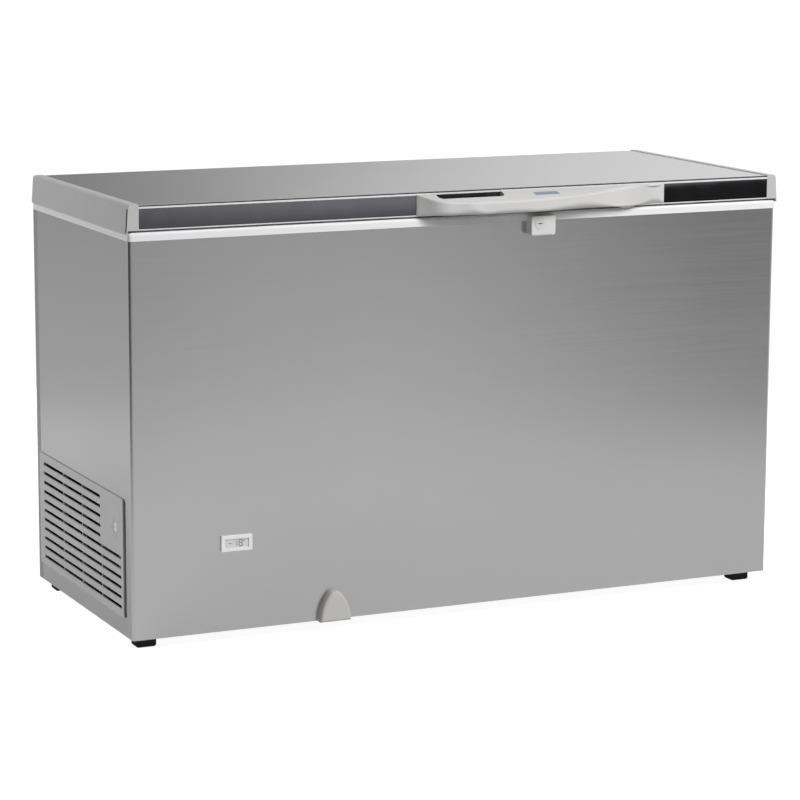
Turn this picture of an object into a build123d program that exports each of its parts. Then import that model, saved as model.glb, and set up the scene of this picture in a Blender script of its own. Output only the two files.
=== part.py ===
from build123d import *
import os

# A commercial chest freezer, 1.5 m wide, in millimetres.
# The origin is on the floor under the middle of the overall box. +X is right, +Y is the back, +Z is up.

# ---------------------------------------------------------------- driving dimensions
cabinet_width = 1500
cabinet_depth = 610
foot_height = 25
panel_height = 818
rim_height = 17
gasket_height = 4
lid_height = 51
cap_lip = 1.5
wall_thickness = 60
sheet = 1
handle_reach = 52
lid_overhang = 3
rim_overhang = 4
rim_side_overhang = 1
hinge_reach = 20

# ---------------------------------------------------------------- main planes
overall_depth = handle_reach + lid_overhang + cabinet_depth + hinge_reach
half_width = cabinet_width / 2
front = -overall_depth / 2 + handle_reach + lid_overhang
back = front + cabinet_depth
panel_bottom = foot_height
panel_top = panel_bottom + panel_height
rim_top = panel_top + rim_height
lid_bottom = rim_top + gasket_height
lid_top = lid_bottom + lid_height
lid_front = front - lid_overhang
lid_back = back - 5
wrap_end = back - 29

# tank, measured on its outer faces
tank_x = half_width - wall_thickness
tank_front = front + wall_thickness
tank_back = back - wall_thickness
tank_floor = panel_bottom + 70
tank_corner = 12

# compressor compartment, in the left end
bay_right = -487
bay_roof = panel_bottom + 291
step_foam = 50
step_x = bay_right + step_foam
step_top = bay_roof + step_foam
tray_thickness = 2
tray_top = panel_bottom + sheet + tray_thickness

# side grille
grille_front = front + 45
grille_back = front + 585
grille_bottom = panel_bottom + 38
grille_top = panel_bottom + 286.5
grille_proud = 3
slot_pitch = 20.7
slot_height = 7.5
top_slot = panel_bottom + 265
slot_count = 11
short_slots = 5
slot_start = grille_front + 12
short_slot_start = grille_front + 139
slot_end = grille_back - 29
knob_y = front + 93
knob_z = panel_bottom + 219
knob_radius = 11.5

# lock
lock_x = 158
lock_z = panel_bottom + 814
lock_reach = 25
cylinder_radius = 12
cam_back = front - 9
cam_front = front - 12
cam_drive = 7

# hinges
hinge_x = 480
hinge_y = back + 10
hinge_z = rim_top
pin_radius = 3
pin_clearance = 0.05
spring_base = hinge_z - 92.5
spring_height = 68

# lid skin and ends
cap_inner = 728
skin_fold = 3
band_lip = 2.6
cap_outer_bottom = 753.6
cap_outer_top = 749.5
cap_skirt = 7
skirt_gap = 0.5

# thermometer, on the front of the compressor compartment
gauge_x0, gauge_x1 = -558, -489
gauge_z0, gauge_z1 = panel_bottom + 167.5, panel_bottom + 202

# drain
drain_x = -306
drain_y = tank_front + 70
drain_z = 48
drain_bore = 8
drain_outer = 10
drain_bend = 18

# baskets
basket_width = 280
basket_height = 200
basket_gap = 12
basket_wall = 3
basket_top = rim_top - 15
ledge_depth = 8
ledge_width = 12

# compressor and refrigeration tubes
compressor_x = (-half_width + bay_right) / 2
compressor_y = front + 355
compressor_base = tray_top + 14
evaporator_radius = 4
evaporator_low = 410
evaporator_pitch = 80
evaporator_turns = 5
condenser_radius = 3
condenser_low = compressor_base + 60
condenser_pitch = 140
condenser_passes = 5
coil_bend = 14
groove_clearance = 1

os.makedirs("parts", exist_ok=True)


# ---------------------------------------------------------------- helpers
def block(x0, x1, y0, y1, z0, z1):
    """A box between two opposite corners."""
    return Pos((x0 + x1) / 2, (y0 + y1) / 2, (z0 + z1) / 2) * Box(x1 - x0, y1 - y0, z1 - z0)


def mirror_x(shape):
    """The same shape on the other side of the middle plane."""
    return mirror(shape, about=Plane.YZ)


def disc(radius, x, y, z0, z1):
    """An upright cylinder."""
    return Pos(x, y, (z0 + z1) / 2) * Cylinder(radius, z1 - z0)


def rod_x(radius, x0, x1, y, z):
    """A cylinder along X."""
    return Pos((x0 + x1) / 2, y, z) * Rot(0, 90, 0) * Cylinder(radius, x1 - x0)


def rod_y(radius, x, y0, y1, z):
    """A cylinder along Y."""
    return Pos(x, (y0 + y1) / 2, z) * Rot(90, 0, 0) * Cylinder(radius, y1 - y0)


def bent_path(points, corner):
    """Straight runs joined by tangent arcs at right-angled bends."""
    pieces = []
    start = Vector(points[0])
    for before, bend, after in zip(points, points[1:], points[2:]):
        bend = Vector(bend)
        entry = bend + (Vector(before) - bend).normalized() * corner
        leave = bend + (Vector(after) - bend).normalized() * corner
        centre = entry + leave - bend
        middle = centre + (bend - centre).normalized() * corner
        pieces += [Line(start, entry), ThreePointArc(entry, middle, leave)]
        start = leave
    pieces.append(Line(start, points[-1]))
    return Wire([piece.edge() for piece in pieces])


def tube_along(points, corner, radius):
    """A round rod whose middle follows a bent path."""
    path = bent_path(points, corner)
    profile = Plane(origin=path @ 0, z_dir=path % 0) * Circle(radius)
    return sweep(profile, path=path)


def channel_between(start, end, half):
    """A square channel that reaches past two points by the same amount all round."""
    low = [min(a, b) - half for a, b in zip(start, end)]
    high = [max(a, b) + half for a, b in zip(start, end)]
    return block(low[0], high[0], low[1], high[1], low[2], high[2])


def around(points, corner, half):
    """Channels round runs that are parallel to the axes, with room for the bends between them."""
    channels = [channel_between(start, end, half) for start, end in zip(points, points[1:])]
    for before, bend, after in zip(points, points[1:], points[2:]):
        arc_ends = [Vector(bend) + (Vector(other) - Vector(bend)).normalized() * corner
                    for other in (before, after)]
        channels.append(channel_between(tuple(arc_ends[0]), tuple(arc_ends[1]), half))
    return channels


def screw(radius, head_radius, head, shank):
    """A pan head screw along +Z, with its head's underside at the origin."""
    top = Pos(0, 0, head / 2) * Cylinder(head_radius, head)
    top = fillet(top.edges().sort_by(Axis.Z)[-1], head * 0.45)
    cross = Pos(0, 0, head) * (Box(head_radius, 1, head) + Box(1, head_radius, head))
    return top + Pos(0, 0, -shank / 2) * Cylinder(radius, shank) - cross


def save(name, shape):
    """Write one node."""
    export_step(shape, f"parts/{name}.step")


# ---------------------------------------------------------------- cabinet shell
def plan_block(inset, corner, y_back, z0, z1):
    """The cabinet's plan, moved in by an inset, with rounded front corners."""
    x = half_width - inset
    solid = block(-x, x, front + inset, y_back, z0, z1)
    corners = solid.edges().filter_by(Axis.Z).sort_by(Axis.Y)[:2]
    return fillet(corners, corner)


def inner_plan(z0, z1):
    """Everything inside the wrapper and the back panel."""
    solid = plan_block(sheet, 5, back - sheet, z0, z1)
    return fillet(solid.edges().filter_by(Axis.Z).sort_by(Axis.Y)[-2:], 3)


def make_outer_wrapper():
    """The stainless sheet round the front and both sides, with a flange under it."""
    shell = plan_block(0, 6, wrap_end, panel_bottom, panel_top)
    shell -= plan_block(sheet, 5, back, panel_bottom + sheet, panel_top + 1)
    shell -= block(-half_width + 14, half_width - 14, front + 14, back, 0, panel_top)
    window = block(-half_width - 1, -half_width + 5, grille_front - 10, grille_back - 5,
                   grille_bottom + 2, grille_top - 2)
    shell -= fillet(window.edges().filter_by(Axis.X), 4)
    shell -= block(gauge_x0 + 5, gauge_x1 - 5, front - 1, front + 5, gauge_z0 + 5, gauge_z1 - 5)
    shell -= rod_y(drain_outer + 0.5, drain_x, front - 1, front + 5, drain_z)
    return shell


def make_back_panel():
    """A shallow painted tray that closes the back and folds round both sides."""
    x = half_width
    panel = block(-x, x, wrap_end, back, panel_bottom, panel_top)
    panel = fillet(panel.edges().filter_by(Axis.Z).sort_by(Axis.Y)[-2:], 4)
    hollow = block(-x + sheet, x - sheet, wrap_end - 1, back - sheet, 0, panel_top + 1)
    panel -= fillet(hollow.edges().filter_by(Axis.Z).sort_by(Axis.Y)[-2:], 3)
    panel -= block(-715, -565, back - 5, back + 5, 70, 275)
    panel -= rod_y(8, -520, back - 5, back + 5, 75)
    return panel


def bottom_plate(x0, x1, z1):
    """A plate that lies on the wrapper's flange, with holes for the foot screws."""
    plate = inner_plan(panel_bottom + sheet, z1) & block(x0, x1, front, back, 0, panel_top)
    for x, y in foot_centres():
        plate -= disc(3.1, x, y, 0, 60)
    return plate


def make_bay_bulkhead():
    """The folded sheet that is the compartment's inner wall and roof."""
    corner = inner_plan(tray_top, bay_roof) & block(-half_width, bay_right, front, back, 0, panel_top)
    return corner - block(-half_width, bay_right - sheet, front, back, 0, bay_roof - sheet)


# ---------------------------------------------------------------- tank and insulation
def rounded_plan(x0, x1, y0, y1, corner, z0, z1):
    """A box with rounded upright edges."""
    solid = block(x0, x1, y0, y1, z0, z1)
    return fillet(solid.edges().filter_by(Axis.Z), corner)


def tank_volume(inset, top):
    """The tank's outside, or with an inset its inside."""
    x1 = tank_x - inset
    y0, y1 = tank_front + inset, tank_back - inset
    corner = tank_corner - inset
    upper = rounded_plan(-tank_x + inset, x1, y0, y1, corner, step_top + inset, top)
    lower = rounded_plan(step_x + inset, x1, y0, y1, corner, tank_floor + inset, top)
    return upper + lower


def make_tank():
    """The folded inner liner, with the step over the compressor and a drain hole."""
    tank = tank_volume(0, panel_top) - tank_volume(sheet, panel_top + 5)
    return tank - disc(drain_bore, drain_x, drain_y, tank_floor - 5, tank_floor + 5)


def evaporator_points():
    """The evaporator's route round the outside of the tank."""
    off = evaporator_radius + 0.3
    left, right = -tank_x - off, tank_x + off
    near, far = tank_front - off, tank_back + off
    link = tank_front + 180
    points = [(left, tank_front + 60, bay_roof + 6), (left, tank_front + 60, evaporator_low)]
    for turn in range(evaporator_turns):
        z = evaporator_low + turn * evaporator_pitch
        points += [(left, near, z), (right, near, z), (right, far, z), (left, far, z)]
        if turn < evaporator_turns - 1:
            points += [(left, link, z), (left, link, z + evaporator_pitch)]
    points.append((left, link, z))
    return points


def condenser_points():
    """The condenser's route up the inside of the front panel."""
    y = front + sheet + condenser_radius + 0.3
    left, right = bay_right + 30, half_width - 40
    points = [(bay_right + 1, y, condenser_low)]
    for row in range(condenser_passes):
        z = condenser_low + row * condenser_pitch
        ends = [(left, y, z), (right, y, z)]
        if row % 2:
            ends.reverse()
        points += ends[1:] if row == 0 else ends
    return points


def drain_points():
    """The drain tube's route from the tank floor to the front panel."""
    return [(drain_x, drain_y, tank_floor), (drain_x, drain_y, drain_z), (drain_x, front - 9, drain_z)]


def make_insulation():
    """The foam between the shell and the tank, in five pieces."""
    foam = inner_plan(panel_bottom + 2 * sheet, panel_top)
    foam -= block(-tank_x, tank_x, tank_front, tank_back, step_top, panel_top)
    foam -= block(step_x, tank_x, tank_front, tank_back, tank_floor, panel_top)
    foam -= block(-half_width, bay_right, front, back, 0, bay_roof)
    big = cabinet_width
    cuts = {
        "front": block(-big, big, -big, tank_front, 0, big),
        "back": block(-big, big, tank_back, big, 0, big),
        "right": block(tank_x, big, tank_front, tank_back, 0, big),
        "left": block(-big, step_x, tank_front, tank_back, 0, big),
        "base": block(step_x, tank_x, tank_front, tank_back, 0, big),
    }
    evaporator = around(evaporator_points(), coil_bend, evaporator_radius + groove_clearance)
    condenser = around(condenser_points(), coil_bend, condenser_radius + groove_clearance)
    drain = around(drain_points(), drain_bend, drain_outer + groove_clearance)
    pieces = {}
    for name, cut in cuts.items():
        piece = foam & cut
        for channel in evaporator + condenser + drain:
            piece -= channel
        pieces[name] = piece
    return pieces


# ---------------------------------------------------------------- rim
def make_rim_frame():
    """The moulded frame that bridges the shell and the tank, with ledges for the baskets."""
    x = half_width + rim_side_overhang
    rim = rounded_plan(-x, x, front - rim_overhang, back, 8, panel_top, rim_top)
    rim = fillet(rim.edges().group_by(Axis.Z)[-1], 6)
    rim -= rounded_plan(-tank_x + sheet, tank_x - sheet, tank_front + sheet, tank_back - sheet,
                        tank_corner - sheet, panel_top - 1, rim_top + 1)
    for y in (tank_front + sheet - ledge_width, tank_back - sheet):
        rim -= block(-tank_x + 20, tank_x - 20, y, y + ledge_width, rim_top - ledge_depth, rim_top + 1)
    return rim


# ---------------------------------------------------------------- compressor bay
def make_compressor():
    """The welded shell with its seam, feet and three stubs."""
    base = compressor_base
    body = Pos(compressor_x, compressor_y, base + 90) * Cylinder(72, 172)
    body = fillet(body.edges().filter_by(GeomType.CIRCLE), 34)
    seam = disc(76, compressor_x, compressor_y, base + 86, base + 91)
    plate = block(compressor_x - 86, compressor_x + 86, compressor_y - 60, compressor_y + 60,
                  base, base + 3)
    plate += disc(52, compressor_x, compressor_y, base, base + 12)
    for x, y in mount_centres():
        plate -= disc(6, x, y, base - 1, base + 5)
    shell = body + seam + plate
    for offset, radius in ((-30, 4), (0, 3), (30, 3)):
        shell += rod_y(radius, compressor_x + offset, compressor_y - 95, compressor_y - 60, base + 60)
    return shell


def mount_centres():
    """Where the compressor's four mounts stand."""
    return [(compressor_x + sx * 74, compressor_y + sy * 48) for sx in (-1, 1) for sy in (-1, 1)]


def make_compressor_mounts():
    """Four rubber grommets between the tray and the compressor's feet."""
    low = tray_top
    mounts = []
    for x, y in mount_centres():
        grommet = disc(11, x, y, low, low + 14)
        grommet += disc(6, x, y, low + 14, low + 17)
        mounts.append(grommet - disc(3.5, x, y, low - 1, low + 20))
    return Compound(children=mounts)


def make_compressor_bolts():
    """Four bolts with washers down through the grommets."""
    low = tray_top
    bolts = []
    for x, y in mount_centres():
        bolts.append(disc(3, x, y, low, low + 17) + disc(9, x, y, low + 17, low + 19)
                     + disc(6, x, y, low + 19, low + 23))
    return Compound(children=bolts)


def make_relay_box():
    """The start relay's cover on the side of the compressor shell."""
    x = compressor_x
    y = compressor_y + 78
    box = block(x - 28, x + 28, y, y + 34, 85, 150)
    return fillet(box.edges().filter_by(Axis.Z), 5)


def make_filter_drier():
    """A copper capsule in the compartment."""
    capsule = disc(10, -700, front + 190, 120, 215)
    capsule = fillet(capsule.edges(), 7)
    return capsule + disc(2.5, -700, front + 190, 215, 240) + disc(3, -700, front + 190, 95, 120)


def stub_end(offset):
    """The open end of one of the compressor's stubs."""
    return (compressor_x + offset, compressor_y - 95, compressor_base + 60)


def make_suction_pipe():
    """The return pipe from the roof down to the compressor."""
    x, y, z = stub_end(-30)
    return tube_along([(x, y, z), (x, y - 50, z), (x, y - 50, bay_roof - sheet)], 20, 4)


def make_discharge_pipe():
    """The hot pipe from the compressor to the front condenser."""
    x, y, z = stub_end(30)
    exit_y = front + sheet + condenser_radius + 0.3
    points = [(x, y, z), (x, exit_y, z), (bay_right - sheet, exit_y, z)]
    return tube_along(points, coil_bend, condenser_radius)


# ---------------------------------------------------------------- side grille and thermostat
def make_side_grille():
    """The moulded grille over the compartment, with air slots and a hole for the knob."""
    outside = -half_width - grille_proud
    plate = block(outside, -half_width, grille_front, grille_back, grille_bottom, grille_top)
    plate = fillet(plate.edges().filter_by(Axis.X), 5)
    plate = fillet(plate.faces().sort_by(Axis.X)[0].edges(), 1.5)
    collar = block(-half_width, -half_width + 10, grille_front + 2, grille_back - 7,
                   grille_bottom + 4, grille_top - 4)
    hollow = block(-half_width - 1, -half_width + 11, grille_front + 4, grille_back - 9,
                   grille_bottom + 6, grille_top - 6)
    plate += collar - hollow
    for row in range(slot_count):
        z = top_slot - row * slot_pitch
        start = short_slot_start if row < short_slots else slot_start
        slot = block(outside - 1, -half_width + 1, start, slot_end,
                     z - slot_height / 2, z + slot_height / 2)
        plate -= fillet(slot.edges().filter_by(Axis.X), 3)
    for y in (-121, 3, 127):
        plate += block(-half_width, -half_width + 10, front + 305 + y - 1.5, front + 305 + y + 1.5,
                       grille_bottom + 5, grille_top - 5)
    return plate - rod_x(knob_radius + 0.6, outside - 1, -half_width + 1, knob_y, knob_z)


def make_thermostat_body():
    """The thermostat's case behind the grille, with a socket for the knob's stem."""
    x = -half_width + 12
    case = block(x, x + 40, knob_y - 22, knob_y + 22, knob_z - 24, knob_z + 24)
    case = fillet(case.edges().filter_by(Axis.X), 4)
    bracket = block(x + 40, x + 42, knob_y - 30, knob_y + 30, knob_z - 30, bay_roof - sheet)
    return case + bracket - rod_x(pin_radius + pin_clearance, x - 1, x + 16, knob_y, knob_z)


def make_thermostat_knob():
    """The coin-slotted knob and its stem."""
    face = -half_width - grille_proud + 0.5
    knob = rod_x(knob_radius, face, -half_width + 8, knob_y, knob_z)
    knob = fillet(knob.faces().sort_by(Axis.X)[0].edges(), 1)
    knob -= block(face - 1, face + 2, knob_y - 9, knob_y + 9, knob_z - 1.2, knob_z + 1.2)
    return knob + rod_x(pin_radius, -half_width + 8, -half_width + 26, knob_y, knob_z)


# ---------------------------------------------------------------- thermometer
def make_thermometer_bezel():
    """The white frame on the front panel."""
    bezel = block(gauge_x0, gauge_x1, front - 5, front, gauge_z0, gauge_z1)
    bezel = fillet(bezel.edges().filter_by(Axis.Y), 3)
    bezel = fillet(bezel.faces().sort_by(Axis.Y)[0].edges(), 1.5)
    return bezel - block(gauge_x0 + 8, gauge_x1 - 8, front - 6, front + 1, gauge_z0 + 8, gauge_z1 - 8)


def make_thermometer_window():
    """The clear window inside the frame."""
    return block(gauge_x0 + 8, gauge_x1 - 8, front - 3, front - 1.5, gauge_z0 + 8, gauge_z1 - 8)


def make_thermometer_case():
    """The display module behind the front panel."""
    neck = block(gauge_x0 + 8, gauge_x1 - 8, front - 1.5, front + sheet, gauge_z0 + 8, gauge_z1 - 8)
    return neck + block(gauge_x0 + 4, gauge_x1 - 4, front + sheet, front + 16, gauge_z0 + 4, gauge_z1 - 4)


# ---------------------------------------------------------------- drain
def make_drain_tube():
    """The tube that carries melt water from the tank floor to the front."""
    tube = tube_along(drain_points(), drain_bend, drain_outer)
    return tube - tube_along(drain_points(), drain_bend, drain_bore)


def make_drain_plug():
    """The stopper in the tank floor."""
    top = tank_floor + sheet
    plug = disc(17, drain_x, drain_y, top, top + 5)
    plug = fillet(plug.edges().group_by(Axis.Z)[-1], 2)
    plug += disc(drain_bore - 0.08, drain_x, drain_y, top - 13, top)
    return plug + block(drain_x - 10, drain_x + 10, drain_y - 1.5, drain_y + 1.5, top + 5, top + 17)


def domed_prism(half, height, nose, y0, y1, low):
    """A prism with a pointed arch for its outline, and a rounded tip."""
    rise = height - nose
    offset = (rise ** 2 - (half - nose) ** 2) / (2 * (half - nose))
    base = panel_bottom + low
    prism = block(drain_x - half, drain_x + half, y0, y1, base, base + 2 * height)
    for side in (-1, 1):
        prism &= rod_y(half + offset, drain_x + side * offset, y0, y1, panel_bottom)
    return fillet(prism.edges().filter_by(Axis.Y).sort_by(Axis.Z)[-1], nose)


def make_drain_cover():
    """The domed cover at the foot of the front panel, with two curved slots."""
    half, height, nose, reach, wall = 34.5, 64, 16, 18, 3
    shell = domed_prism(half, height, nose, front - reach, front, -1.5)
    shell = fillet(shell.faces().sort_by(Axis.Y)[0].edges(), 6)
    shell -= domed_prism(half - wall, height - wall, nose - wall,
                         front - reach + wall, front + 1, wall - 1.5)
    shell += rod_y(drain_outer + 3, drain_x, front - reach + 2, front - 1, drain_z)
    shell -= rod_y(drain_outer + 0.1, drain_x, front - 10, front + 1, drain_z)
    for radius, half_angle in ((13.5, 42), (7.5, 44)):
        shell -= drain_slot(radius, half_angle)
    return shell


def drain_slot(radius, half_angle):
    """A curved air slot in the cover's face."""
    with BuildSketch(Plane.XZ) as outline:
        with Locations((drain_x, panel_bottom + 36)):
            SlotArc(CenterArc((0, 0), radius, 90 - half_angle, 2 * half_angle), 2.4)
    return extrude(outline.sketch, amount=-front + 22) - block(-half_width, 0, front - 14, back, 0, 200)


# ---------------------------------------------------------------- feet
foot_width, foot_depth = 44, 38
foot_x = half_width - 20 - foot_width / 2
front_foot_y = front + 33 + foot_depth / 2
back_foot_y = back - 18 - foot_depth / 2


def foot_centres():
    """Where the four feet stand."""
    return [(sx * foot_x, y) for sx in (-1, 1) for y in (front_foot_y, back_foot_y)]


def make_feet():
    """Four moulded feet, each with a counterbored screw hole."""
    feet = []
    for x, y in foot_centres():
        foot = block(x - foot_width / 2, x + foot_width / 2, y - foot_depth / 2, y + foot_depth / 2,
                     0, panel_bottom + sheet)
        foot = fillet(foot.edges().filter_by(Axis.Z), 6)
        foot = chamfer(foot.edges().group_by(Axis.Z)[0], 3)
        foot -= disc(3.1, x, y, -1, 40)
        feet.append(foot - disc(8, x, y, -1, 10))
    return Compound(children=feet)


def make_foot_screws():
    """One screw up through each foot."""
    upward = Rot(180, 0, 0) * screw(3, 6, 4, 16)
    return Compound(children=[Pos(x, y, 10) * upward for x, y in foot_centres()])


# ---------------------------------------------------------------- back fittings
def rear_cover_corners():
    """Where the rear cover's screws are."""
    return [(x, z) for x in (-728, -552) for z in (58, 287)]


def make_rear_cover():
    """The pressed vent cover behind the compressor."""
    cover = block(-738, -542, back, back + sheet, 48, 297)
    cover = fillet(cover.edges().filter_by(Axis.Y), 6)
    for row in range(9):
        for x in (-705, -635):
            slot = block(x, x + 60, back - 1, back + 2, 84 + 20 * row, 90 + 20 * row)
            cover -= fillet(slot.edges().filter_by(Axis.Y), 2.5)
    for x, z in rear_cover_corners():
        cover -= rod_y(2.6, x, back - 1, back + 3, z)
    return cover


def make_cable_gland():
    """The grommet through the back panel for a supply lead."""
    gland = rod_y(7.9, -520, back - 4, back, 75) + rod_y(11, -520, back, back + 4, 75)
    return gland - rod_y(3.5, -520, back - 5, back + 5, 75)


# ---------------------------------------------------------------- hinges
def make_hinge_housing(x):
    """A channel on the back panel, with cheeks that hold the pin."""
    cheeks = block(x - 25, x + 25, back, back + hinge_reach, hinge_z - 96, hinge_z)
    cheeks += rod_x(8, x - 25, x + 25, hinge_y, hinge_z)
    cheeks -= block(x - 23, x + 23, back - 1, back + hinge_reach + 1, hinge_z - 94, hinge_z + 10)
    cheeks += block(x - 25, x + 25, back, back + 2, hinge_z - 96, hinge_z - 11)
    cheeks += block(x - 25, x + 25, back, back + 2, hinge_z - 116, hinge_z - 96)
    cheeks -= rod_x(pin_radius + pin_clearance, x - 30, x + 30, hinge_y, hinge_z)
    for dx in (-15, 15):
        cheeks -= rod_y(2.6, x + dx, back - 1, back + 5, hinge_z - 106)
    return cheeks


def make_hinge_pin(x):
    """A headed pin through one hinge."""
    pin = rod_x(pin_radius, x - 28, x + 25.4, hinge_y, hinge_z)
    return pin + rod_x(pin_radius + 2, x - 28, x - 25.4, hinge_y, hinge_z)


def make_hinge_spring(x):
    """The counterbalance spring, standing in the channel."""
    coil = Helix(pitch=8.5, height=spring_height, radius=6.2)
    wire = sweep(Plane(origin=coil @ 0, z_dir=coil % 0) * Circle(1.2), path=coil, is_frenet=True)
    return Pos(x, back + 11, spring_base) * wire


def make_hinge_plunger(x):
    """The cap on the spring, with the stem that guides it."""
    y = back + 11
    cap_low = spring_base + spring_height + 1.4
    return disc(8, x, y, cap_low, cap_low + 4) + disc(4.6, x, y, hinge_z - 94, cap_low)


def make_hinge_arm(x):
    """The leaf on the lid's back edge, with its knuckle round the pin."""
    arm = rod_x(7, x - 12, x + 12, hinge_y, hinge_z)
    arm += block(x - 12, x + 12, lid_back, hinge_y, hinge_z + 1, hinge_z + 6)
    arm += block(x - 22, x + 22, lid_back, lid_back + 2, hinge_z + 5, lid_top - 9)
    arm -= rod_x(pin_radius + pin_clearance, x - 30, x + 30, hinge_y, hinge_z)
    for dx in (-14, 14):
        for z in (lid_bottom + 10, lid_top - 18):
            arm -= rod_y(2.6, x + dx, lid_back - 1, lid_back + 5, z)
    return arm


def make_back_screws():
    """The screws that hold the hinge channels and the rear cover on the back panel."""
    inward = Rot(-90, 0, 0)
    screws = [Pos(sx * hinge_x + dx, back + 2, hinge_z - 106) * inward * screw(2.5, 4.6, 2.6, 2)
              for sx in (-1, 1) for dx in (-15, 15)]
    screws += [Pos(x, back + sheet, z) * inward * screw(2.5, 4.6, 2.6, sheet)
               for x, z in rear_cover_corners()]
    return Compound(children=screws)


# ---------------------------------------------------------------- lock
def make_lock_housing():
    """The moulded housing below the handle, open above the cam and behind it."""
    x0, x1 = 138, 195.6
    z0, z1 = panel_bottom + 788.5, panel_bottom + 830.5
    housing = block(x0, x1, front - lock_reach, front, z0, z1)
    housing = fillet(housing.edges().filter_by(Axis.Y), 5)
    housing = fillet(housing.faces().sort_by(Axis.Y)[0].edges(), 2.5)
    housing -= block(x0 - 1, x1 + 1, front - rim_overhang, front + 1, panel_top, z1 + 1)
    housing -= rod_y(cylinder_radius + 0.06, lock_x, front - lock_reach - 1, front - 14, lock_z)
    housing -= block(x0 + 2.5, x1 - 2.5, front - 14, front + 1, z0 + 2.5, z1 - 2.5)
    return housing - block(lock_x - 6, lock_x + 33, front - 13, front - 8, z1 - 5, z1 + 1)


def make_lock_cylinder():
    """The key barrel, with its keyway and the square that drives the cam."""
    face = front - lock_reach - 1
    barrel = rod_y(cylinder_radius, lock_x, face, front - 14, lock_z)
    barrel = fillet(barrel.faces().sort_by(Axis.Y)[0].edges(), 0.8)
    half = cam_drive / 2
    barrel += block(lock_x - half, lock_x + half, front - 14, cam_back + 2, lock_z - half, lock_z + half)
    barrel -= block(lock_x - 4.5, lock_x + 4.5, face - 1, face + 8, lock_z - 1.1, lock_z + 1.1)
    return barrel


def make_lock_cam():
    """The hooked cam, lying inside the housing until the key lifts it."""
    y0, y1 = cam_front, cam_back
    cam = rod_y(7, lock_x, y0, y1, lock_z) + block(lock_x, lock_x + 33, y0, y1, lock_z - 3, lock_z + 3)
    cam += block(lock_x + 29.5, lock_x + 33, y0, y1, lock_z - 3, lock_z + 10)
    half = cam_drive / 2
    return cam - block(lock_x - half, lock_x + half, y0 - 1, y1 + 1, lock_z - half, lock_z + half)


# ---------------------------------------------------------------- lid
def make_lid_front_profile():
    """The extrusion along the lid's front, with a channel for the dark band."""
    bar = block(-cap_inner, cap_inner, lid_front, lid_front + 6, lid_bottom, lid_top - skin_fold)
    bar = chamfer(bar.edges().filter_by(Axis.X).group_by(Axis.Z)[0].sort_by(Axis.Y)[0], 1)
    return bar - block(-cap_inner - 1, cap_inner + 1, lid_front - 1, lid_front + 3,
                       lid_bottom + band_lip, lid_top - 7)


def make_lid_front_band():
    """The glossy strip in the front profile's channel."""
    return block(-cap_inner, cap_inner, lid_front + 0.5, lid_front + 3, lid_bottom + band_lip, lid_top - 7)


def make_lid_top_skin():
    """The stainless lid sheet, with a short fold over the front and back profiles."""
    skin = block(-cap_inner, cap_inner, lid_front, lid_back, lid_top - skin_fold, lid_top)
    skin = fillet(skin.edges().filter_by(Axis.X).group_by(Axis.Z)[-1], 1.8)
    return skin - block(-cap_inner - 1, cap_inner + 1, lid_front + sheet, lid_back - sheet,
                        lid_top - skin_fold - 1, lid_top - sheet)


def make_lid_insulation():
    """The foam core, which also fills both end caps."""
    core = block(-cap_inner, cap_inner, lid_front + 6, lid_back - 5, lid_bottom + 2, lid_top - sheet)
    return core + block(-740, 740, lid_front + 6, lid_back - 5, lid_bottom + 4, lid_top - 4)


def make_lid_inner_panel():
    """The white liner under the lid, with a raised field inside the gasket."""
    panel = block(-cap_inner, cap_inner, lid_front + 6, lid_back - 5, lid_bottom, lid_bottom + 2)
    return panel + rounded_plan(-715, 715, lid_front + 40, lid_back - 38, 25, lid_bottom - 2.5, lid_bottom)


def make_lid_rear_profile():
    """The moulding along the lid's back edge."""
    return block(-cap_inner, cap_inner, lid_back - 5, lid_back, lid_bottom, lid_top - skin_fold)


def make_lid_end_cap():
    """The right end moulding: drafted, with a lip above the skin and a skirt beside the rim."""
    skirt_inner = half_width + rim_side_overhang + skirt_gap
    section = make_face(Polyline(
        (cap_inner, lid_bottom), (skirt_inner, lid_bottom), (skirt_inner, lid_bottom - cap_skirt),
        (cap_outer_bottom, lid_bottom - cap_skirt), (cap_outer_top, lid_top + cap_lip),
        (cap_inner, lid_top + cap_lip), close=True))
    cap = extrude(Plane.XZ.offset(-lid_back) * section, amount=lid_back - lid_front)
    outer_top = cap.edges().filter_by(Axis.Y).group_by(Axis.Z)[-1].sort_by(Axis.X)[-1]
    cap = fillet(outer_top, 8)
    cap -= block(cap_outer_top - 1, cap_outer_bottom + 2, lid_front + 5, lid_front + 7,
                 lid_bottom - cap_skirt - 1, lid_top - 7)
    return cap - make_lid_insulation()


def make_lid_gasket():
    """The hollow seal under the lid's edge."""
    y0, y1 = lid_front + 12, lid_back - 10
    ring = rounded_plan(-740, 740, y0, y1, 18, rim_top, lid_bottom)
    return ring - rounded_plan(-724, 724, y0 + 16, y1 - 16, 8, rim_top - 1, lid_bottom + 1)


# ---------------------------------------------------------------- handle
handle_low = lid_bottom + 3
handle_edge = handle_low + 26
handle_high = lid_top - 5
handle_seam = 110
# each station is a place along X and how far the handle stands out from the lid there
handle_stations = [(-120, 1.5), (-107, 14), (-94, 26.5), (-84, 34.5), (-72, 40.5), (-45, 46.5), (5, 51.5),
                   (55, handle_reach), (103, 51.5), (193, 45), (312, 26), (407, 9), (468, 1.5)]


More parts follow.
